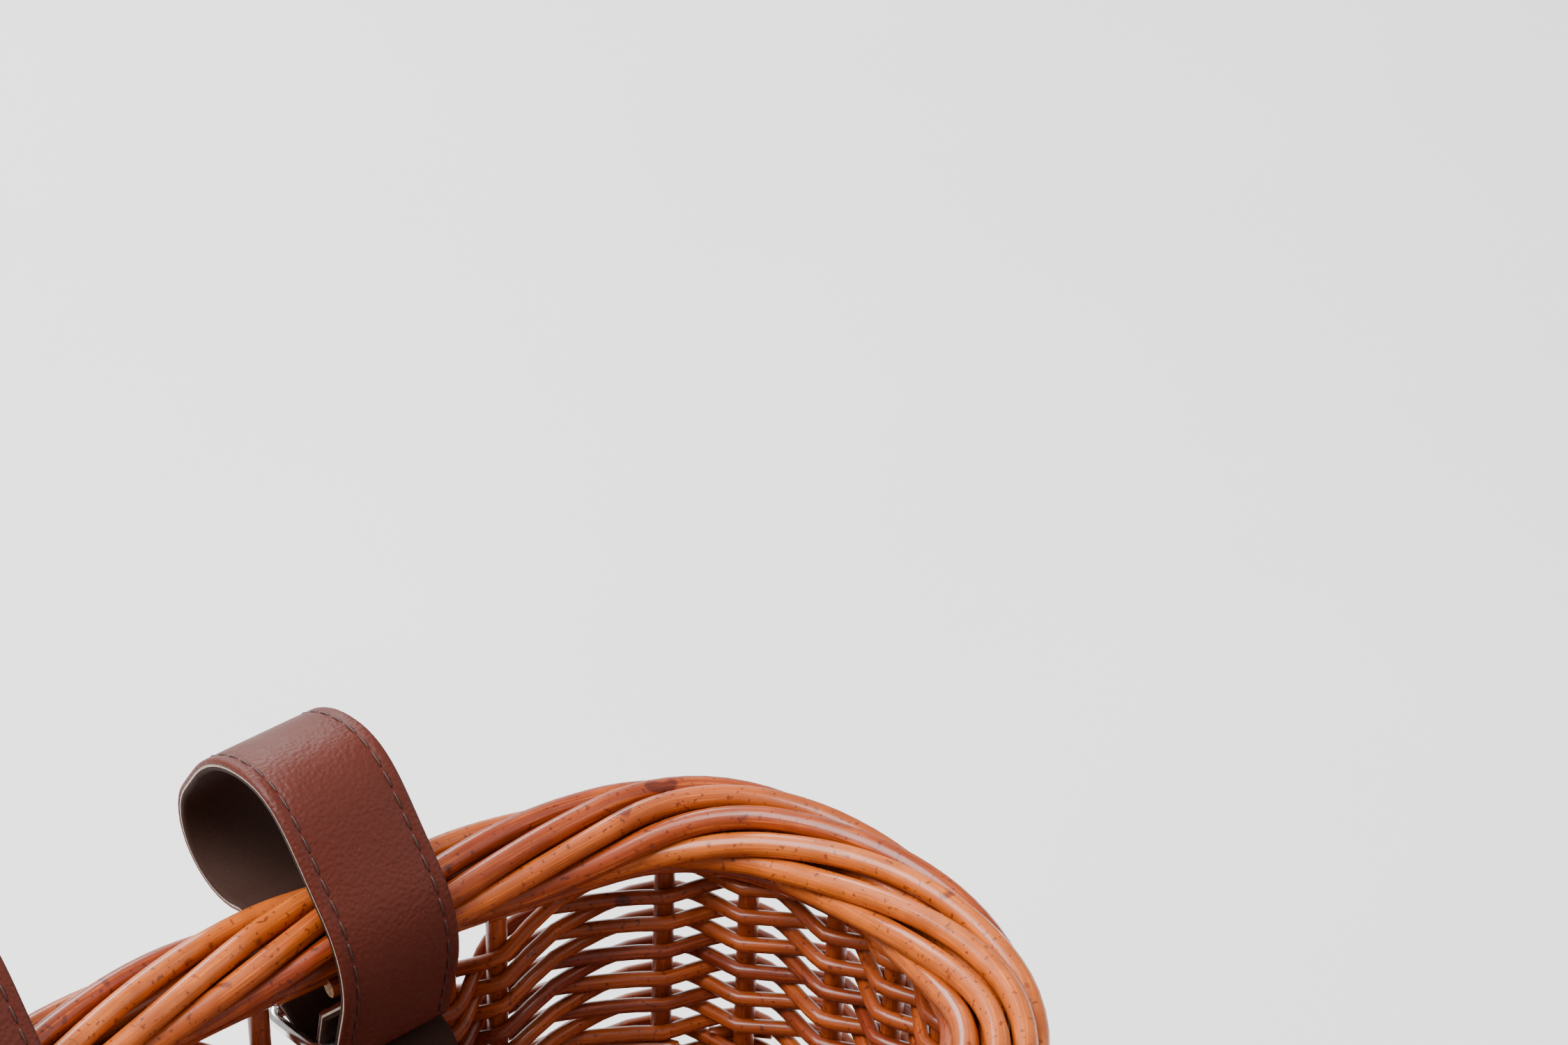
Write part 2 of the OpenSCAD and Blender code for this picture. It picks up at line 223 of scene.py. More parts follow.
class BasketColours(bpy.types.PropertyGroup):
    """Colours of the willow, the leather and the metal"""

    border_dark: colour_property("Border, dark", "Bark side of the border rods", (0.24, 0.028, 0.003))
    border_light: colour_property("Border, light", "Sunlit side of the border rods", (0.76, 0.185, 0.018))
    weaver_dark: colour_property("Weavers, dark", "Darkest weavers", (0.17, 0.020, 0.003))
    weaver_light: colour_property("Weavers, light", "Palest weavers", (0.60, 0.125, 0.012))
    cut_wood: colour_property("Cut wood", "Fresh wood on a cut end", (0.72, 0.40, 0.18))
    leather: colour_property("Leather", "Grain side of the straps", (0.30, 0.052, 0.017))
    leather_dark: colour_property("Leather, dark", "Creases and pores of the straps", (0.075, 0.010, 0.004))
    # Lining: dark brown suede, made darker still with painted shade that stands for the shadow inside the
    # strap loop
    lining: colour_property("Lining", "Inner face of the straps", (0.032, 0.011, 0.006))
    strap_core: colour_property("Strap core", "Pale layer at the cut edge", (0.62, 0.52, 0.42))
    thread: colour_property("Thread", "Stitching", (0.040, 0.011, 0.006))
    metal: colour_property("Buckle", "Plated buckle wire", (0.80, 0.79, 0.77))
    floor: colour_property("Floor", "Studio floor", (0.95, 0.95, 0.945))


def angle_property(name, description, degrees):
    return FloatProperty(name=name, description=description, default=math.radians(degrees),
                         subtype="ANGLE", unit="ROTATION")


class BasketView(bpy.types.PropertyGroup):
    """Camera and light"""

    distance: FloatProperty(name="Distance", description="From the right strap to the camera",
                            default=0.9, min=0.3, max=4, unit="LENGTH")
    azimuth: angle_property("Azimuth", "Direction of the camera from the right strap", -32.7)
    elevation: angle_property("Elevation", "Height of the camera above the right strap", 39.8)
    aim_azimuth: angle_property("Aim azimuth", "Way that the camera looks back from", -39.35)
    aim_elevation: angle_property("Aim elevation", "Tilt of the camera's axis", 35.49)
    lens: FloatProperty(name="Lens", description="Focal length in millimetres on a 36 mm sensor",
                        default=113.8, min=18, max=400)
    softness: FloatProperty(name="Softbox", description="Side of the main light",
                            default=0.9, min=0.1, max=5, unit="LENGTH")


# ---- Sweeping an outline through stations ----

def layers(bm):
    """Grain coordinates and the shade of each rod, kept on the vertices for the materials."""
    fibre = bm.verts.layers.float_vector.get("fibre") or bm.verts.layers.float_vector.new("fibre")
    tone = bm.verts.layers.float.get("tone") or bm.verts.layers.float.new("tone")
    return fibre, tone


def stations_along(points, radii, closed=False, up=UP):
    """A matrix at each point: outline x across the run, y up from it and z along it."""
    result = []
    last = len(points) - 1
    for k, point in enumerate(points):
        before = points[k - 1] if k or closed else point
        after = points[(k + 1) % len(points)] if k < last or closed else point
        tangent = (after - before).normalized()
        across = tangent.cross(up).normalized()
        rise = across.cross(tangent)
        matrix = Matrix((across * radii[k], rise * radii[k], tangent)).transposed().to_4x4()
        matrix.translation = point
        result.append(matrix)
    return result


def mark(ring, matrix, scale, run, shade, keys):
    """Writes the grain coordinates of one ring."""
    fibre, tone = keys
    back = matrix.inverted()
    for vert in ring:
        local = back @ vert.co
        vert[fibre] = (run, local.x * scale, local.y * scale)
        vert[tone] = shade


def sweep(bm, stations, outline=None, sides=8, closed=False, shade=0.0, start=0.0, scale=MM):
    """Draws an outline at the first station and extrudes it through the others."""
    keys = layers(bm)
    if outline is None:
        ring = bmesh.ops.create_circle(bm, segments=sides, radius=1, matrix=stations[0])["verts"]
        edges = list({e for v in ring for e in v.link_edges})
    else:
        ring = [bm.verts.new(stations[0] @ Vector((x, y, 0))) for x, y in outline]
        edges = [bm.edges.new((ring[k - 1], ring[k])) for k in range(len(ring))]
    mark(ring, stations[0], scale, start, shade, keys)
    first = edges
    run = start
    for before, here in zip(stations, stations[1:]):
        geometry = bmesh.ops.extrude_edge_only(bm, edges=edges)["geom"]
        ring = [g for g in geometry if isinstance(g, bmesh.types.BMVert)]
        edges = [g for g in geometry if isinstance(g, bmesh.types.BMEdge)
                 and all(v in ring for v in g.verts)]
        bmesh.ops.transform(bm, matrix=here @ before.inverted(), verts=ring)
        run += (here.translation - before.translation).length
        mark(ring, here, scale, run, shade, keys)
    if closed:
        bmesh.ops.bridge_loops(bm, edges=first + edges)
        return []
    return [bmesh.ops.contextual_create(bm, geom=loop)["faces"][0] for loop in (first, edges)]


def soften(bm, faces, width):
    """Rounds the rims of cut ends."""
    edges = list({e for f in faces for e in f.edges})
    bmesh.ops.bevel(bm, geom=edges, offset=width, offset_type="OFFSET", segments=2,
                    profile=0.5, affect="EDGES", material=-1)


def finish_piece(bm, name, material, body, nodes):
    """Turns a bmesh into a piece that rides on a body and stands for its nodes."""
    bmesh.ops.remove_doubles(bm, verts=bm.verts, dist=0.002 * MM)
    bmesh.ops.recalc_face_normals(bm, faces=bm.faces)
    for face in bm.faces:
        face.smooth = True
    mesh = bpy.data.meshes.new(name)
    bm.to_mesh(mesh)
    bm.free()
    piece = bpy.data.objects.new(name, mesh)
    bpy.context.scene.collection.objects.link(piece)
    for each in material if isinstance(material, list) else [material]:
        mesh.materials.append(each)
    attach(piece, body)
    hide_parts(*nodes)
    return piece


# ---- Materials ----

# Sockets of a Mix node that blends colours
MIX_FACTOR, MIX_FIRST, MIX_SECOND, MIX_RESULT = 0, 6, 7, 2


class Finish:
    """Adds nodes to a new material, with values set on their own sockets."""

    def __init__(self, name):
        self.material = bpy.data.materials.new(name)
        self.material.use_nodes = True
        self.tree = self.material.node_tree
        self.tree.nodes.clear()
        self.shader = self.node("ShaderNodeBsdfPrincipled")
        output = self.node("ShaderNodeOutputMaterial")
        self.link(self.shader, "BSDF", output, "Surface")

    def node(self, kind, inputs=None, **settings):
        made = self.tree.nodes.new(kind)
        for key, value in settings.items():
            setattr(made, key, value)
        for key, value in (inputs or {}).items():
            made.inputs[key].default_value = value
        return made

    def link(self, source, output, target, socket):
        self.tree.links.new(source.outputs[output], target.inputs[socket])

    def shine(self, **inputs):
        for key, value in inputs.items():
            self.shader.inputs[key.replace("_", " ")].default_value = value

    def ramp(self, source, output, stops):
        made = self.node("ShaderNodeValToRGB")
        ramp = made.color_ramp
        while len(ramp.elements) < len(stops):
            ramp.elements.new(0.5)
        for element, (place, colour) in zip(ramp.elements, stops):
            element.position = place
            element.color = (*colour, 1)
        self.link(source, output, made, "Fac")
        return made

    def mapped(self, source, output, scale):
        made = self.node("ShaderNodeMapping")
        made.inputs["Scale"].default_value = scale
        self.link(source, output, made, "Vector")
        return made

    def noise(self, source, output, scale, detail=3.0, rough=0.55):
        made = self.node("ShaderNodeTexNoise", {"Scale": scale, "Detail": detail, "Roughness": rough})
        self.link(source, output, made, "Vector")
        return made

    def mix(self, factor, first, second, blend="MIX"):
        """Mixes two colours; each of factor, first and second is a (node, output) pair or a value."""
        made = self.node("ShaderNodeMix", data_type="RGBA", blend_type=blend)
        sockets = (made.inputs[MIX_FACTOR], made.inputs[MIX_FIRST], made.inputs[MIX_SECOND])
        for socket, value in zip(sockets, (factor, first, second)):
            if isinstance(value, tuple) and isinstance(value[0], bpy.types.Node):
                self.tree.links.new(value[0].outputs[value[1]], socket)
            elif socket.type == "RGBA":
                socket.default_value = (*value, 1)
            else:
                socket.default_value = value
        return made, MIX_RESULT

    def bump(self, source, output, strength, distance, under=None):
        made = self.node("ShaderNodeBump", {"Strength": strength, "Distance": distance})
        self.link(source, output, made, "Height")
        if under:
            self.link(under, "Normal", made, "Normal")
        self.link(made, "Normal", self.shader, "Normal")
        return made

    def colour(self, pair):
        self.tree.links.new(pair[0].outputs[pair[1]], self.shader.inputs["Base Color"])


def grey(value):
    return (value, value, value)


def darker(colour, share):
    return tuple(c * share for c in colour)


def willow(name, dark, light, grain_axis=None, gloss=0.35):
    """Lacquered willow: grain along the rod, knots and specks, and a shade that changes from rod to rod.
    grain_axis is the way the grain runs on a straight rod; woven rods carry their own grain coordinates."""
    finish = Finish(name)
    coords = finish.node("ShaderNodeTexCoord")
    if grain_axis is None:
        source = finish.node("ShaderNodeAttribute", attribute_name="fibre")
        grain = finish.mapped(source, "Vector", (70, 2300, 2300))
        shade = (finish.node("ShaderNodeAttribute", attribute_name="tone"), "Fac")
    else:
        scale = tuple(70 if k == grain_axis else 2300 for k in range(3))
        grain = finish.mapped(coords, "Object", scale)
        patches = finish.noise(coords, "Object", 30.0, 1.0)
        shade = (patches, "Fac")
    fine = finish.noise(grain, "Vector", 1.0, 4.0, 0.6)
    streaks = finish.ramp(fine, "Fac", [(0.30, darker(dark, 0.75)), (0.52, dark), (0.72, light)])
    base = finish.mix(shade, dark, light)
    base = finish.mix(0.5, base, (streaks, "Color"))
    blotch = finish.noise(coords, "Object", 85.0, 3.0, 0.6)
    blotches = finish.ramp(blotch, "Fac", [(0.35, (0.62, 0.55, 0.50)), (0.62, grey(1.0))])
    base = finish.mix(0.75, base, (blotches, "Color"), "MULTIPLY")
    speck = finish.noise(coords, "Object", 900.0, 1.0, 0.5)
    specks = finish.ramp(speck, "Fac", [(0.30, (0.35, 0.25, 0.20)), (0.36, grey(1.0))])
    base = finish.mix(0.8, base, (specks, "Color"), "MULTIPLY")
    knot = finish.noise(coords, "Object", 210.0, 0.0)
    knots = finish.ramp(knot, "Fac", [(0.76, grey(1.0)), (0.82, (0.30, 0.17, 0.12))])
    base = finish.mix(0.85, base, (knots, "Color"), "MULTIPLY")
    finish.colour(base)
    rough = finish.ramp(fine, "Fac", [(0.2, grey(0.36)), (0.8, grey(0.52))])
    finish.link(rough, "Color", finish.shader, "Roughness")
    wave = finish.bump(blotch, "Fac", 0.25, 0.5 * MM)
    finish.bump(fine, "Fac", 0.35, 0.16 * MM, wave)
    finish.shine(Coat_Weight=gloss, Coat_Roughness=0.13, Specular_IOR_Level=0.3)
    return finish.material


def cut_end(name, wood):
    """Pale wood with a pith, on a cut end."""
    finish = Finish(name)
    coords = finish.node("ShaderNodeTexCoord")
    rings = finish.noise(coords, "Object", 1500.0, 2.0)
    tones = finish.ramp(rings, "Fac", [(0.35, darker(wood, 0.55)), (0.65, wood)])
    finish.colour((tones, "Color"))
    finish.bump(rings, "Fac", 0.3, 0.15 * MM)
    finish.shine(Roughness=0.7)
    return finish.material


def leather(name, light, dark):
    """Semi-matte leather with fine pebbles, soft patches and dark pores."""
    finish = Finish(name)
    coords = finish.node("ShaderNodeTexCoord")
    pebbles = finish.node("ShaderNodeTexVoronoi", {"Scale": 1250.0, "Randomness": 0.9},
                          feature="SMOOTH_F1")
    finish.link(coords, "Object", pebbles, "Vector")
    patches = finish.noise(coords, "Object", 55.0, 4.0, 0.6)
    fine = finish.noise(coords, "Object", 2600.0, 2.0)
    shades = finish.ramp(patches, "Fac", [(0.30, darker(light, 0.62)), (0.68, light)])
    pores = finish.ramp(pebbles, "Distance", [(0.25, grey(1.0)), (0.75, (0.48, 0.38, 0.35))])
    base = finish.mix(0.7, (shades, "Color"), (pores, "Color"), "MULTIPLY")
    flecks = finish.ramp(fine, "Fac", [(0.27, grey(1.0)), (0.20, grey(0.0))])
    base = finish.mix((flecks, "Color"), dark, base)
    finish.colour(base)
    rough = finish.ramp(patches, "Fac", [(0.3, grey(0.58)), (0.7, grey(0.46))])
    finish.link(rough, "Color", finish.shader, "Roughness")
    grain = finish.bump(pebbles, "Distance", 0.75, 0.2 * MM)
    finish.bump(fine, "Fac", 0.18, 0.06 * MM, grain)
    finish.shine(Specular_IOR_Level=0.28)
    return finish.material


def suede(name, colour, scale):
    """Napped or raw cut leather."""
    finish = Finish(name)
    coords = finish.node("ShaderNodeTexCoord")
    nap = finish.noise(coords, "Object", scale, 4.0, 0.7)
    tones = finish.ramp(nap, "Fac", [(0.3, darker(colour, 0.6)), (0.7, colour)])
    finish.colour((tones, "Color"))
    finish.bump(nap, "Fac", 0.4, 0.12 * MM)
    finish.shine(Roughness=0.78, Specular_IOR_Level=0.2)
    return finish.material


def waxed_thread(name, colour):
    """Twisted thread: its ply runs round the stitch."""
    finish = Finish(name)
    source = finish.node("ShaderNodeAttribute", attribute_name="fibre")
    turned = finish.mapped(source, "Vector", (1.0, 0.9, 0.9))
    turned.inputs["Rotation"].default_value = (0, 0, math.radians(35))
    ply = finish.node("ShaderNodeTexWave", {"Scale": 900.0, "Distortion": 0.6})
    finish.link(turned, "Vector", ply, "Vector")
    tones = finish.ramp(ply, "Fac", [(0.2, darker(colour, 0.5)), (0.8, darker(colour, 1.5))])
    finish.colour((tones, "Color"))
    finish.bump(ply, "Fac", 0.5, 0.08 * MM)
    finish.shine(Roughness=0.5)
    return finish.material


def plated_wire(name, colour):
    """Bright plating with faint handling marks."""
    finish = Finish(name)
    coords = finish.node("ShaderNodeTexCoord")
    marks = finish.noise(coords, "Object", 600.0, 3.0)
    tones = finish.ramp(marks, "Fac", [(0.35, darker(colour, 0.86)), (0.6, colour)])
    finish.colour((tones, "Color"))
    rough = finish.ramp(marks, "Fac", [(0.3, grey(0.14)), (0.7, grey(0.26))])
    finish.link(rough, "Color", finish.shader, "Roughness")
    finish.bump(marks, "Fac", 0.08, 0.03 * MM)
    finish.shine(Metallic=1.0)
    return finish.material


def studio_floor(name, colour):
    finish = Finish(name)
    coords = finish.node("ShaderNodeTexCoord")
    mottle = finish.noise(coords, "Object", 9.0, 2.0)
    tones = finish.ramp(mottle, "Fac", [(0.3, darker(colour, 0.97)), (0.7, colour)])
    finish.colour((tones, "Color"))
    finish.shine(Roughness=0.85)
    return finish.material


def shared(name, make, *arguments):
    """The material of that name, made the first time it is asked for."""
    return bpy.data.materials.get(name) or make(name, *arguments)


def tint(key):
    """A colour from the settings."""
    return tuple(getattr(bpy.context.scene.basket_colours, key))


def border_willow():
    return shared("willow_border", willow, tint("border_dark"), tint("border_light"))


def weaver_willow():
    return shared("willow_weaver", willow, tint("weaver_dark"), tint("weaver_light"))


def fresh_cut():
    return shared("fresh_cut", cut_end, tint("cut_wood"))


def hide_grain():
    return shared("hide_grain", leather, tint("leather"), tint("leather_dark"))


def buckle_plate():
    return shared("buckle_plating", plated_wire, tint("metal"))


def dress(node, material):
    """Gives a frame node that stays in view its finish."""
    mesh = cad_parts[node].data
    mesh.materials.clear()
    mesh.materials.append(material)


# ---- Woven rods ----

def woven_rod(bm, path, radius, seed, closed=True, sides=8, taper=1.0):
    """Sweeps a willow rod along a path, a little uneven in thickness, in its own shade."""
    count = len(path)
    radii = [radius * (1 + 0.05 * drift(k * 0.13, seed)) * (1 + (taper - 1) * k / count)
             for k in range(count)]
    shade = random.Random(seed).random()
    stations = stations_along(path, radii, closed)
    return sweep(bm, stations, sides=sides, closed=closed, shade=shade, start=seed * 0.7, scale=radius)


def weave_side(phase):
    """1 outside at an even count of stakes, -1 inside at an odd one, and a nearly straight run between."""
    turn = math.cos(math.pi * phase)
    straight = 1 - 2 * abs((phase % 2) - 1)
    return 0.5 * turn - 0.5 * straight


WEAVE_STEPS = 6
TAILS_PER_BAND = 5
# Rows above DIP_FROM are pressed down where a strap passes, DIP_STEP more for each row
DIP_FROM = 12
DIP_STEP = 0.62 * MM
DIP_INNER = 13 * MM
DIP_OUTER = 42 * MM


def strap_dip(i, point):
    """How far row i is pressed down where a strap passes over the wall."""
    if point.y < CENTRE_Y or i <= DIP_FROM:
        return 0
    near = 1 - smooth(DIP_INNER, DIP_OUTER, abs(abs(point.x) - STRAP_X))
    return (i - DIP_FROM) * DIP_STEP * near


def siding_row(bm, i, first_z, pitch, weaver_r):
    """Row i of the siding: in front of one stake and behind the next, and the next row the other way."""
    reach = STAKE_R + weaver_r + STAKE_GAP
    path = []
    for n in range(len(STAKES) * WEAVE_STEPS):
        phase = n / WEAVE_STEPS
        t = place_of(phase)
        z = first_z + i * pitch
        off = reach * weave_side(phase + i)
        point = wall_point(t, z, off)[0]
        point.z -= strap_dip(i, point)
        point.z += 0.28 * MM * drift(phase * 0.8, i + 3)
        path.append(point)
    woven_rod(bm, path, weaver_r, i + 1)


def weaver_end(bm, i, stake, first_z, pitch, weaver_r):
    """The cut tail of a weaver, tucked past a stake on the side that its row leaves free there."""
    side = -1 if (stake + i) % 2 == 0 else 1
    reach = STAKE_R + weaver_r + STAKE_GAP
    path = []
    count = 7
    for n in range(count):
        phase = stake - 0.42 + 0.62 * n / (count - 1)
        off = side * reach * (smooth(-0.42, 0.0, phase - stake) + 0.35 * smooth(0, 0.3, phase - stake))
        point = wall_point(place_of(phase), first_z + i * pitch, off)[0]
        point.z -= strap_dip(i, point)
        path.append(point)
    ends = woven_rod(bm, path, weaver_r, 60 + stake, closed=False)
    ends[1].material_index = 1
    soften(bm, ends, 0.18 * MM)


class BASKET_OT_siding(bpy.types.Operator):
    """Weaves the siding in bands, and the packing rows that close it up to the border"""
    bl_idname = "basket.siding"
    bl_label = "Siding"

    def execute(self, context):
        weaver_r = context.scene.basket_sizes.weaver_d / 2
        first_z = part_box("siding_band_1")[0].z + weaver_r
        last_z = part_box("packing_rows")[1].z - weaver_r
        pitch = (last_z - first_z) / (ROWS - 1)
        cuts = [k * BAND_ROWS // BANDS for k in range(BANDS + 1)] + [ROWS]
        names = ["siding_band_%d" % k for k in range(1, BANDS + 1)] + ["packing_rows"]
        chance = random.Random(12)
        for name, low, high in zip(names, cuts, cuts[1:]):
            bm = bmesh.new()
            for i in range(low, high):
                siding_row(bm, i, first_z, pitch, weaver_r)
            for k in range(TAILS_PER_BAND):
                weaver_end(bm, chance.randrange(low, high), chance.randrange(1, len(STAKES)),
                           first_z, pitch, weaver_r)
            finish_piece(bm, "woven_" + name, [weaver_willow(), fresh_cut()],
                         "basket", [name])
        return {"FINISHED"}


STAKE_SPACING = AROUND / len(STAKES)
TAIL_SPAN = 2.7


def border_path(start, strands, travel, rod_r):
    """One rod of the rolled border: up from its stake, in, over the top, out and back under."""
    across = BORDER_HALF_WIDTH - rod_r
    upward = BORDER_HALF_HEIGHT - rod_r
    path = []
    count = int(travel * 7)
    for n in range(count + 1):
        gone = travel * n / count
        angle = math.radians(-90) - 2 * math.pi * gone / strands
        angle += 0.09 * drift(gone * 0.45, start + 40)
        reach = 0.35 + 0.65 * smooth(0, 0.9, gone) + 0.03 * drift(gone * 0.7, start)
        reach = min(reach, 1)
        t = (start + gone) * STAKE_SPACING
        z = BORDER_Z + upward * reach * math.sin(angle)
        off = across * reach * math.cos(angle)
        path.append(oval_point(t, z, off, WALL_A, WALL_B, CORNER_R)[0])
    return path


def tucked_tail(bm, start, rod_r):
    """The thin tip of a border rod, run along inside the stakes close under the border."""
    count = 20
    path = []
    for n in range(count + 1):
        share = n / count
        off = -STAKE_R - rod_r - (1.6 - 1.2 * share) * MM
        z = BORDER_BOTTOM - rod_r * (0.2 + 0.9 * share)
        path.append(wall_point((start + TAIL_SPAN * share) * STAKE_SPACING, z, off)[0])
    ends = woven_rod(bm, path, rod_r, 400 + start, closed=False, sides=10, taper=0.6)
    ends[1].material_index = 1
    soften(bm, ends, 0.15 * MM)


def cut_peg(bm, side):
    """A short stout end left beside a strap, close under the border."""
    rod_r = 2 * MM
    low = STRAP_X - 8 * MM
    high = STRAP_X + STRAP_W / 2 + 4.5 * MM
    path = []
    for n in range(8):
        t = low + (high - low) * n / 7
        path.append(wall_point(side * t, BORDER_BOTTOM - 2.2 * MM, -STAKE_R - rod_r - 2.5 * MM)[0])
    ends = woven_rod(bm, path, rod_r, 440 + side, closed=False, sides=12)
    for end in ends:
        end.material_index = 1
    soften(bm, ends, 0.25 * MM)


class BASKET_OT_border(bpy.types.Operator):
    """Rolls one rod from each stake round the border"""
    bl_idname = "basket.border"
    bl_label = "Rolled border"

    def execute(self, context):
        sizes = context.scene.basket_sizes
        rod_r = sizes.border_d / 2
        chance = random.Random(5)
        for group in range(BORDER_GROUPS):
            bm = bmesh.new()
            for start in range(group, len(STAKES), BORDER_GROUPS):
                travel = sizes.border_strands + chance.uniform(-0.1, 0.35)
                path = border_path(start, sizes.border_strands, travel, rod_r)
                ends = woven_rod(bm, path, rod_r, 100 + start, closed=False, sides=12, taper=0.9)
                ends[1].material_index = 1
                soften(bm, ends, 0.3 * MM)
                if start % 2:
                    tucked_tail(bm, start, 1.6 * MM)
            if group == 0:
                for side in (-1, 1):
                    cut_peg(bm, side)
            node = "border_rod_%d" % (group + 1)
            finish_piece(bm, "rolled_" + node, [border_willow(), fresh_cut()],
                         "basket", [node])
        return {"FINISHED"}


FOOT_STEPS = 8
BASE_STEPS = 96
CROSS_STICK_PITCH = 26 * MM


class BASKET_OT_foot(bpy.types.Operator):
    """Twines two pairs of stout rods round the feet of the stakes"""
    bl_idname = "basket.foot"
    bl_label = "Twined foot"

    def execute(self, context):
        rod_r = context.scene.basket_sizes.foot_d / 2
        reach = STAKE_R + rod_r + STAKE_GAP
        rise = rod_r + STAKE_GAP
        bm = bmesh.new()
        for level in range(2):
            middle = FOOT_Z + (2 * level + 1) * (FOOT_TOP - FOOT_Z) / 4
            for strand in range(2):
                path = []
                for n in range(len(STAKES) * FOOT_STEPS):
                    phase = n / FOOT_STEPS
                    turn = math.pi * (phase + strand)
                    z = middle + rise * math.sin(turn) * (1 if level else -1)
                    path.append(wall_point(place_of(phase), z, reach * math.cos(turn))[0])
                woven_rod(bm, path, rod_r, 200 + 2 * level + strand, sides=10)
        finish_piece(bm, "twined_foot", weaver_willow(), "basket", ["foot_rods"])
        return {"FINISHED"}


class BASKET_OT_base(bpy.types.Operator):
    """Weaves the base over and under its cross sticks, and finishes the sticks and stakes"""
    bl_idname = "basket.base"
    bl_label = "Woven base"

    def execute(self, context):
        stick_dark = tint("weaver_dark")
        stick_light = tint("weaver_light")
        dress("base_long_sticks", shared("willow_long_stick", willow, stick_dark, stick_light, 0))
        dress("base_cross_sticks", shared("willow_cross_stick", willow, stick_dark, stick_light, 1))
        dress("side_stakes", shared("willow_stake", willow, darker(stick_dark, 1.3), stick_light, 2))
        dress("border_core", shared("willow_border_core", willow, tint("border_dark"),
                                    tint("border_light"), 0))
        self.weave(context)
        return {"FINISHED"}

    def weave(self, context):
        weaver_r = context.scene.basket_sizes.weaver_d / 2
        pitch = context.scene.basket_sizes.base_pitch
        stick_r = node_size("base_cross_sticks").z / 2
        outer = node_size("base_weavers") / 2
        middle_z = node_centre("base_cross_sticks").z
        lift = stick_r + weaver_r + STAKE_GAP
        bm = bmesh.new()
        rings = int((outer.y - weaver_r) / pitch)
        for k in range(rings + 1):
            a = outer.x - weaver_r - (k - 1) * pitch
            b = outer.y - weaver_r - (k - 1) * pitch
            c = CORNER_R * b / outer.y * 0.9
            parity = 1 if k % 2 else -1
            path = []
            for n in range(BASE_STEPS):
                point = oval_point(AROUND * n / BASE_STEPS, middle_z, 0, a, b, c)[0]
                over = math.cos(math.pi * point.x / CROSS_STICK_PITCH)
                at_end = smooth(a - 12 * MM, a, abs(point.x))
                point.z += parity * lift * (over * (1 - at_end) + at_end)
                path.append(point)
            woven_rod(bm, path, weaver_r, 300 + k)
        finish_piece(bm, "woven_base", weaver_willow(), "basket", ["base_weavers"])


# ---- Straps ----

class StrapPath:
    """Middle line of a strap seen along the handlebar, as straight runs and arcs laid end to end.
    Points are (towards the rider, up) and headings are in radians."""

    def __init__(self, start, heading):
        self.ends = [(Vector(start), heading)]
        self.parts = []

    def run(self, length):
        point, heading = self.ends[-1]
        self.parts.append((0, length))
        self.ends.append((point + length * ray(heading), heading))

    def bend(self, degrees, radius):
        point, heading = self.ends[-1]
        turn = math.radians(degrees)
        self.parts.append((turn, radius))
        self.ends.append((point + bend_move(heading, turn, radius), heading + turn))

    def stations(self, first, last, step):
        """(distance, point, heading) along parts first to last, at most step apart."""
        result = []
        gone = 0
        for k in range(first, last + 1):
            point, heading = self.ends[k]
            turn, size = self.parts[k]
            length = abs(turn) * size if turn else size
            count = max(1, math.ceil(length / step))
            if turn:
                count = max(count, math.ceil(abs(turn) / math.radians(11)))
            for n in range(count + (k == last)):
                share = n / count
                if turn:
                    place = point + bend_move(heading, turn * share, size)
                else:
                    place = point + share * length * ray(heading)
                result.append((gone + share * length, place, heading + turn * share))
            if k == EASED_PARTS[0] - 1:
                low = gone + length
            if k == EASED_PARTS[1]:
                high = gone + length
            gone += length
        return eased(result, low, high)


def lerp_station(every, gone):
    """Place and heading at a distance along a list of stations."""
    for before, after in zip(every, every[1:]):
        if after[0] >= gone:
            share = (gone - before[0]) / max(after[0] - before[0], 1e-9)
            return before[1].lerp(after[1], share), before[2] + share * (after[2] - before[2])
    return every[-1][1], every[-1][2]


def eased(every, low, high):
    """The same stations, with the corners between two distances opened out as thick leather does."""
    result = []
    for gone, place, heading in every:
        reach = min(EASE_REACH, gone - low, high - gone)
        if reach > 0:
            near = [lerp_station(every, gone + reach * n / 4) for n in range(-4, 5)]
            place = sum((spot for spot, turn in near), Vector((0, 0))) / 9
            heading = sum(turn for spot, turn in near) / 9
        result.append((gone, place, heading))
    return result


def ray(heading):
    return Vector((math.cos(heading), math.sin(heading)))


def bend_move(heading, turn, radius):
    way = math.copysign(1, turn)
    return way * radius * Vector((math.sin(heading + turn) - math.sin(heading),
                                  math.cos(heading) - math.cos(heading + turn)))


def reach_along(move, u, v):
    """How far along directions u and v a move reaches."""
    scale = u.x * v.y - u.y * v.x
    return (move.x * v.y - move.y * v.x) / scale, (u.x * move.y - u.y * move.x) / scale


STRAP_T = 2.4 * MM
WIRE_R = 1.25 * MM
ROLLER_R = 2 * MM
BAR_R = 11.1 * MM
TAIL_LENGTH = 34 * MM
FIXED_BAR = Vector((-31.5, -27.5)) * MM
BUCKLE_LENGTH = 17 * MM
PASS_HEADING = math.radians(204)
WRAP_R = WIRE_R + 0.1 * MM + STRAP_T / 2
FIRST_SEWN = 2
LAST_SEWN = 12
EASED_PARTS = (4, 8)
EASE_REACH = 7 * MM
PASS_RUN = 14
TAIL_RUN = 16
STITCH_GAP = 0.08
HOLE_R = 1.6 * MM
SLOT_BACK = 8.2 * MM
SLOT_REACH = 3.2 * MM
GROOVE_X = 9.9 * MM
TIP_STEPS = 12
SHARP = math.radians(40)
KEEPER_WALL = 1.6 * MM


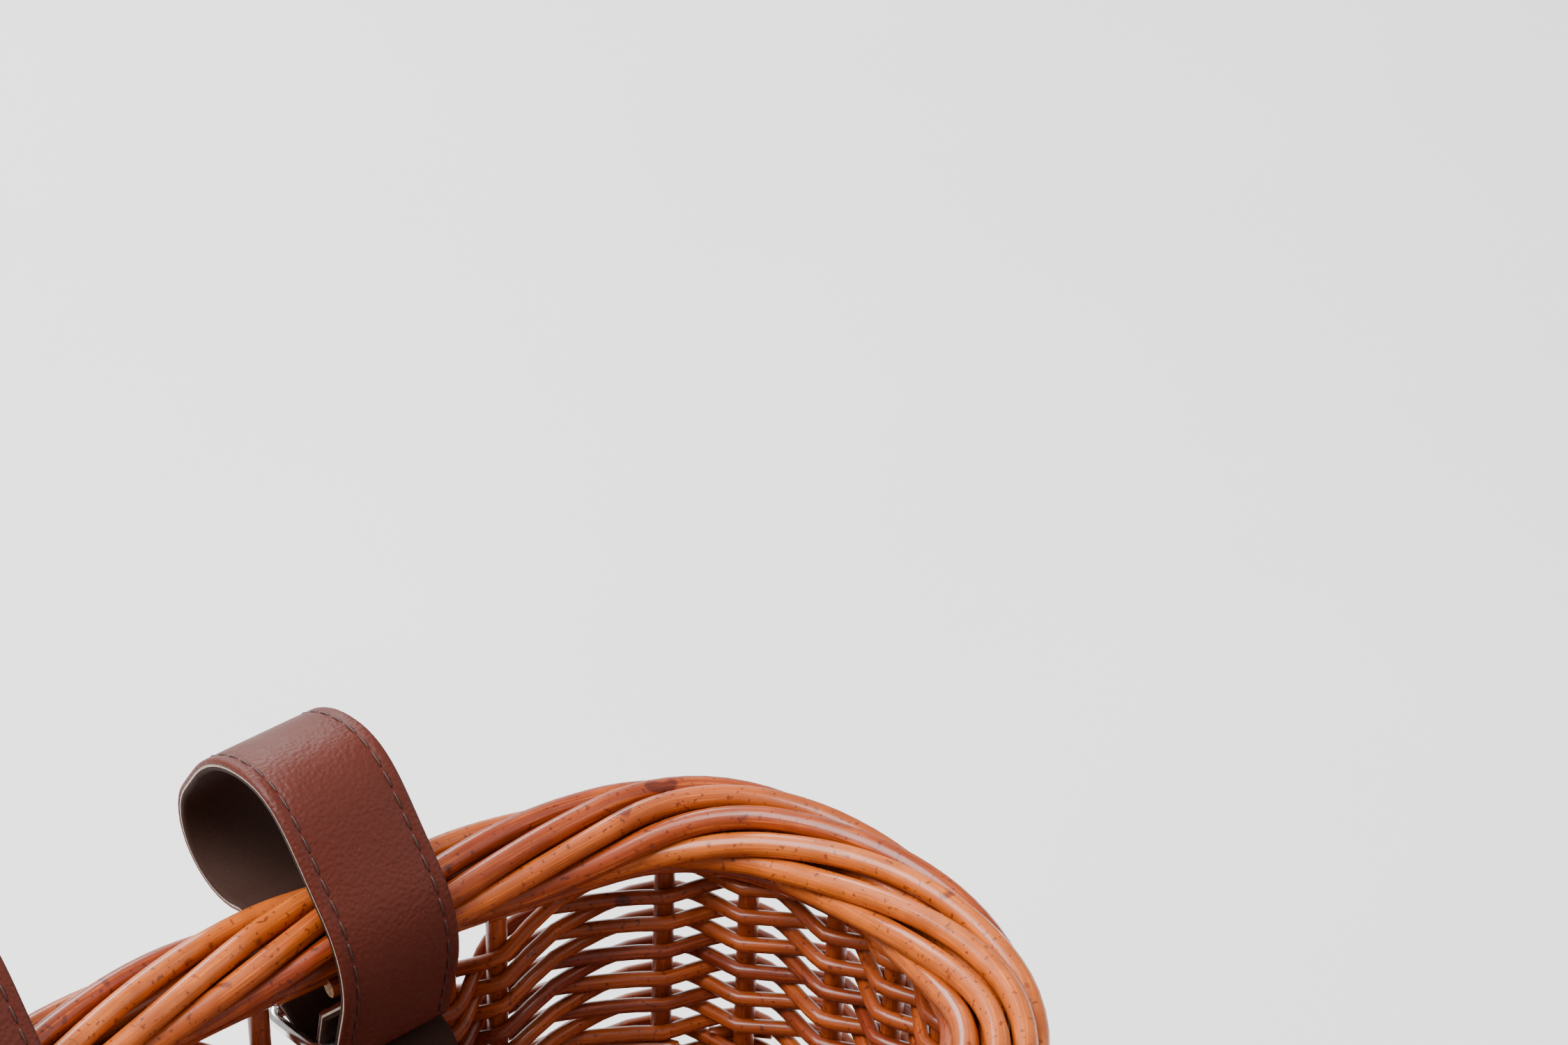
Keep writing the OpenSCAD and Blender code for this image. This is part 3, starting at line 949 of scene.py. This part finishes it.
def buckle_bars():
    """Where the strap passes the fixed bar, and the middle of the roller's bar."""
    side = ray(PASS_HEADING + math.pi / 2)
    below = WRAP_R + STRAP_T + 0.25 * MM
    over = ROLLER_R + STRAP_T / 2 + 0.1 * MM
    passing = FIXED_BAR + below * side
    run = math.sqrt(BUCKLE_LENGTH ** 2 - (below + over) ** 2)
    return passing, passing + over * side - run * ray(PASS_HEADING)


def strap_path():
    """From the fold on the fixed bar, up and round the handlebar, back through the buckle to the tail."""
    deg = math.radians
    up, over, back_down = 51, -15, -55  # headings before the crown, after it and after the back corner
    round_r = BAR_R + STRAP_T / 2
    passing = buckle_bars()[0]
    fold_len = 7 * MM
    drop_len = 12.5 * MM
    back_r = 6 * MM
    crown_r = 11 * MM
    path = StrapPath(FIXED_BAR + WRAP_R * ray(deg(373)) - fold_len * ray(deg(283)), deg(283))
    path.run(fold_len)
    path.bend(-178, WRAP_R)
    path.run(13 * MM)
    path.bend(-54, 22 * MM)
    slope = path.ends[-1][0]
    crown = bend_move(deg(up), deg(over - up), crown_r)
    corner = bend_move(deg(over), deg(back_down - over), back_r)
    back = round_r * ray(deg(back_down + 90)) - drop_len * ray(deg(back_down)) - corner
    rise, fall = reach_along(back - slope - crown, ray(deg(up)), ray(deg(over)))
    path.run(rise)
    path.bend(over - up, crown_r)
    path.run(fall)
    path.bend(back_down - over, back_r)
    path.run(drop_len)
    path.bend(-145, round_r)
    path.run(0.5 * MM)
    path.bend(95, 4 * MM)
    turn_r = 3.5 * MM
    cut = turn_r * math.tan(deg(51) / 2)
    down, through = reach_along(passing - path.ends[-1][0], ray(deg(255)), ray(PASS_HEADING))
    path.run(down - cut)
    path.bend(-51, turn_r)
    path.run(through - cut + 4 * MM)
    path.bend(58, 6 * MM)
    path.run(TAIL_LENGTH)
    return path


def strap_matrix(side, place, heading, width=1.0):
    """Outline x along the handlebar, y out of the strap's face, z along the strap."""
    across = Vector((width, 0, 0))
    out = Vector((0, -math.sin(heading), math.cos(heading)))
    along = Vector((0, math.cos(heading), math.sin(heading)))
    matrix = Matrix((across, out, along)).transposed().to_4x4()
    matrix.translation = (side * STRAP_X, place.x, place.y)
    return matrix


def both_halves(half):
    """A closed outline from its right half, listed from the top middle to the bottom middle."""
    right = [(x * MM, y * MM) for x, y in half]
    return right + [(-x, y) for x, y in reversed(right) if x]


FACE_OUTLINE = [(0, 1.2), (4.5, 1.2), (8.9, 1.18), (9.45, 1.02), (9.9, 0.97), (10.35, 1.02), (10.9, 1.18),
                (11.8, 1.12), (12.3, 0.9), (12.5, 0.55), (12.5, 0.25), (0, 0.25)]
CORE_OUTLINE = [(0, 0.25), (12.38, 0.25), (12.38, -0.25), (0, -0.25)]
LINING_OUTLINE = [(0, -0.25), (12.5, -0.25), (12.5, -0.7), (12.2, -1.08), (11.7, -1.2), (0, -1.2)]


def strap_stations(path, side):
    """Stations of a whole strap, narrowing to nothing round the tip of the tail."""
    result = []
    tip_r = STRAP_W / 2
    every = path.stations(0, TAIL_RUN, 2 * MM)
    end = every[-1][0]
    start, heading = path.ends[TAIL_RUN]
    for gone, place, turn in every:
        if gone < end - tip_r:
            result.append(strap_matrix(side, place, turn))
    for n in range(TIP_STEPS + 1):
        angle = math.radians(88) * n / TIP_STEPS
        reach = TAIL_LENGTH - tip_r + tip_r * math.sin(angle)
        result.append(strap_matrix(side, start + reach * ray(heading), heading, math.cos(angle)))
    return result


def punch(piece, cutters):
    """Subtracts the cutters from a piece. On these straps it leaves the leather whole: no hole opens."""
    knife = bpy.data.objects.new("punch", bpy.data.meshes.new("punch"))
    bpy.context.scene.collection.objects.link(knife)
    cutters.to_mesh(knife.data)
    cutters.free()
    cut = piece.modifiers.new("holes", "BOOLEAN")
    cut.object = knife
    cut.solver = "EXACT"
    bpy.context.view_layer.update()
    holed = bpy.data.meshes.new_from_object(piece.evaluated_get(bpy.context.evaluated_depsgraph_get()))
    piece.modifiers.clear()
    old = piece.data
    piece.data = holed
    bpy.data.meshes.remove(old)
    bpy.data.objects.remove(knife)


def hole_cutters(path, side):
    """Round cutters at the two holes of the tail and at the ends of the tongue's slot."""
    start, heading = path.ends[PASS_RUN]
    slot = (buckle_bars()[0] - start).dot(ray(heading)) - SLOT_BACK
    cuts = [(TAIL_RUN, 8 * MM, 24), (TAIL_RUN, 18 * MM, 24),
            (PASS_RUN, slot - SLOT_REACH, 16), (PASS_RUN, slot + SLOT_REACH, 16)]
    bm = bmesh.new()
    for run, distance, segments in cuts:
        start, heading = path.ends[run]
        place = start + distance * ray(heading)
        matrix = strap_matrix(side, place, heading) @ Matrix.Rotation(math.pi / 2, 4, "X")
        bmesh.ops.create_cone(bm, cap_ends=True, segments=segments, radius1=HOLE_R, radius2=HOLE_R,
                              depth=8 * MM, matrix=matrix)
    return bm


def sewn_row(bm, path, side, x, pitch):
    """A row of separate stitches sunk in the groove at x across the strap."""
    every = path.stations(FIRST_SEWN, LAST_SEWN, 0.5 * MM)
    for n in range(int(every[-1][0] / pitch)):
        stations = []
        for k in range(6):
            share = STITCH_GAP + (1 - 2 * STITCH_GAP) * k / 5
            place, heading = lerp_station(every, (n + share) * pitch)
            bulge = math.sin(math.pi * (k + 0.35) / 5.7)
            matrix = strap_matrix(side, place, heading)
            matrix = matrix @ Matrix.Translation((x, 0.9 * MM + 0.17 * MM * bulge, 0))
            thick = (0.12 + 0.18 * bulge) * MM
            stations.append(matrix @ Matrix.Diagonal((thick, thick * 0.8, 1, 1)))
        sweep(bm, stations, sides=6, shade=n % 2, start=n * pitch, scale=0.4 * MM)


class BASKET_OT_straps(bpy.types.Operator):
    """Lays both straps up in three layers and sews two rows of stitches down each"""
    bl_idname = "basket.straps"
    bl_label = "Leather straps"

    def execute(self, context):
        pitch = context.scene.basket_sizes.stitch_pitch
        hide = hide_grain()
        core = shared("hide_core", suede, tint("strap_core"), 1400.0)
        # The lining material carries painted shade: its dark colour stands partly for the shadow inside the
        # strap loop
        lining = shared("hide_lining", suede, tint("lining"), 2200.0)
        thread = shared("sewing_thread", waxed_thread, tint("thread"))
        path = strap_path()
        for name, side in SIDES:
            parts = (("face", FACE_OUTLINE, hide, "strap_leather"),
                     ("core", CORE_OUTLINE, core, "strap_core"),
                     ("lining", LINING_OUTLINE, lining, "strap_lining"))
            for part, half, material, slot in parts:
                bm = bmesh.new()
                sweep(bm, strap_stations(path, side), outline=both_halves(half), scale=1)
                node = "%s_strap_%s" % (name, part)
                piece = finish_piece(bm, node + "_leather", material, name + "_strap", [node])
                punch(piece, hole_cutters(path, side))
                piece.data.set_sharp_from_angle(angle=SHARP)
            bm = bmesh.new()
            for x in (-GROOVE_X, GROOVE_X):
                sewn_row(bm, path, side, x, pitch)
            finish_piece(bm, name + "_stitches", thread, name + "_strap",
                         [name + "_strap_thread"])
        return {"FINISHED"}


def rounded_loop(length, width, corner):
    """Points round a rectangle with arcs at its corners, in the plane of x and z."""
    points = []
    for n, (sx, sz) in enumerate(((1, 1), (-1, 1), (-1, -1), (1, -1))):
        for k in range(6):
            angle = math.radians(90 * n + 18 * k)
            points.append(Vector((sx * (length / 2 - corner) + corner * math.cos(angle), 0,
                                  sz * (width / 2 - corner) + corner * math.sin(angle))))
    return points


class BASKET_OT_buckles(bpy.types.Operator):
    """Bends a wire frame for each buckle, folds its keeper, and plates the roller and tongue"""
    bl_idname = "basket.buckles"
    bl_label = "Buckles and keepers"

    def execute(self, context):
        lie = buckle_bars()[1] - FIXED_BAR
        for name, side in SIDES:
            self.bend_frame(name, side, math.atan2(lie.y, lie.x))
            self.fold_keeper(name, side)
            dress(name + "_buckle_roller", buckle_plate())
            dress(name + "_buckle_tongue", buckle_plate())
        return {"FINISHED"}

    def bend_frame(self, name, side, slope):
        """A wire ring with rounded corners, its fixed bar and roller bar across the strap."""
        node = name + "_buckle_frame"
        width = node_size(node).x - 2 * WIRE_R
        place = FIXED_BAR + BUCKLE_LENGTH / 2 * ray(slope)
        lay = strap_matrix(side, place, slope) @ Matrix.Rotation(-math.pi / 2, 4, "Y")
        points = [lay @ p for p in rounded_loop(BUCKLE_LENGTH, width, 3 * MM)]
        out = Vector((0, -math.sin(slope), math.cos(slope)))
        bm = bmesh.new()
        sweep(bm, stations_along(points, [WIRE_R] * len(points), True, out), sides=14, closed=True)
        finish_piece(bm, name + "_buckle_wire", buckle_plate(), name + "_strap", [node])

    def fold_keeper(self, name, side):
        """A flat leather band folded round the tail."""
        node = name + "_keeper"
        across = node_size(node).x - KEEPER_WALL
        start, heading = strap_path().ends[TAIL_RUN]
        place = start + 5 * MM * ray(heading)
        lay = strap_matrix(side, place, heading)
        thick = STRAP_T + 0.7 * MM + KEEPER_WALL
        loop = rounded_loop(across, thick, 1.2 * MM)
        points = [lay @ Vector((p.x, p.z, 0)) for p in loop]
        along = Vector((0, math.cos(heading), math.sin(heading)))
        outline = [(0.8, -3), (0.8, 3), (0.55, 3.4), (-0.55, 3.4), (-0.8, 3), (-0.8, -3),
                   (-0.55, -3.4), (0.55, -3.4)]
        bm = bmesh.new()
        stations = stations_along(points, [1] * len(points), True, along)
        sweep(bm, stations, outline=[(x * MM, y * MM) for x, y in outline], closed=True, scale=1)
        piece = finish_piece(bm, name + "_keeper_loop", hide_grain(), node, [node])
        piece.data.set_sharp_from_angle(angle=SHARP)


# ---- Studio ----

def from_direction(azimuth, elevation):
    return Vector((math.sin(azimuth) * math.cos(elevation),
                   -math.cos(azimuth) * math.cos(elevation), math.sin(elevation)))


def aimed(direction_back):
    """Rotation that looks along the opposite of a direction, upright."""
    return direction_back.to_track_quat("Z", "Y").to_matrix().to_4x4()


class BASKET_OT_studio(bpy.types.Operator):
    """Lays a pale floor and sets soft lights and the camera"""
    bl_idname = "basket.studio"
    bl_label = "Studio"

    def execute(self, context):
        scene = context.scene
        view = scene.basket_view
        bm = bmesh.new()
        bmesh.ops.create_grid(bm, x_segments=2, y_segments=2, size=4)
        bmesh.ops.translate(bm, vec=(0, 0, FOOT_Z - 0.3 * MM), verts=bm.verts)
        mesh = bpy.data.meshes.new("floor")
        bm.to_mesh(mesh)
        bm.free()
        floor = bpy.data.objects.new("floor", mesh)
        mesh.materials.append(shared("floor_paint", studio_floor, tint("floor")))
        scene.collection.objects.link(floor)
        self.camera(scene, view)
        for name, place, power, size in (("main_softbox", (-0.45, 0.25, 1.1), 40, view.softness),
                                         ("fill_softbox", (1.2, -0.8, 0.9), 8, 1.5),
                                         ("rim_softbox", (0.5, 1.3, 0.7), 16, 0.6)):
            self.light(scene, name, place, power, size)
        scene.world = bpy.data.worlds.new("studio")
        scene.world.use_nodes = True
        background = scene.world.node_tree.nodes["Background"]
        background.inputs["Color"].default_value = (1.0, 0.985, 0.965, 1)
        background.inputs["Strength"].default_value = 0.55
        return {"FINISHED"}

    def camera(self, scene, view):
        target = Vector((STRAP_X, CENTRE_Y + WALL_B, BORDER_Z))
        back = from_direction(view.azimuth, view.elevation)
        data = bpy.data.cameras.new("camera")
        data.sensor_width = 36
        data.lens = view.lens
        camera = bpy.data.objects.new("camera", data)
        camera.matrix_world = (Matrix.Translation(target + view.distance * back)
                               @ aimed(from_direction(view.aim_azimuth, view.aim_elevation)))
        scene.collection.objects.link(camera)
        scene.camera = camera

    def light(self, scene, name, place, power, size):
        data = bpy.data.lights.new(name, "AREA")
        data.energy = power
        data.size = size
        lamp = bpy.data.objects.new(name, data)
        target = Vector((0, CENTRE_Y, BORDER_Z))
        lamp.matrix_world = Matrix.Translation(target + Vector(place)) @ aimed(Vector(place))
        scene.collection.objects.link(lamp)


# ---- Panel and registration ----

class BASKET_PT_panel(bpy.types.Panel):
    """Sizes, colours and steps of the basket"""
    bl_idname = "BASKET_PT_panel"
    bl_label = "Handlebar Basket"
    bl_space_type = "VIEW_3D"
    bl_region_type = "UI"
    bl_category = "Basket"

    def draw(self, context):
        scene = context.scene
        for group in (scene.basket_sizes, scene.basket_colours, scene.basket_view):
            box = self.layout.box()
            for key in group.__annotations__:
                box.prop(group, key)
        for step in STEPS:
            self.layout.operator(step.bl_idname)


GROUPS = (BasketSizes, BasketColours, BasketView)
STEPS = (BASKET_OT_studio, BASKET_OT_base, BASKET_OT_foot, BASKET_OT_siding, BASKET_OT_border,
         BASKET_OT_straps, BASKET_OT_buckles)
CLASSES = GROUPS + STEPS + (BASKET_PT_panel,)


def register():
    for cls in CLASSES:
        bpy.utils.register_class(cls)
    bpy.types.Scene.basket_sizes = PointerProperty(type=BasketSizes)
    bpy.types.Scene.basket_colours = PointerProperty(type=BasketColours)
    bpy.types.Scene.basket_view = PointerProperty(type=BasketView)


def unregister():
    del bpy.types.Scene.basket_view
    del bpy.types.Scene.basket_colours
    del bpy.types.Scene.basket_sizes
    for cls in reversed(CLASSES):
        bpy.utils.unregister_class(cls)


def main():
    register()
    bpy.ops.basket.studio()
    bpy.ops.basket.base()
    bpy.ops.basket.foot()
    bpy.ops.basket.siding()
    bpy.ops.basket.border()
    bpy.ops.basket.straps()
    bpy.ops.basket.buckles()


if __name__ == "__main__":
    main()
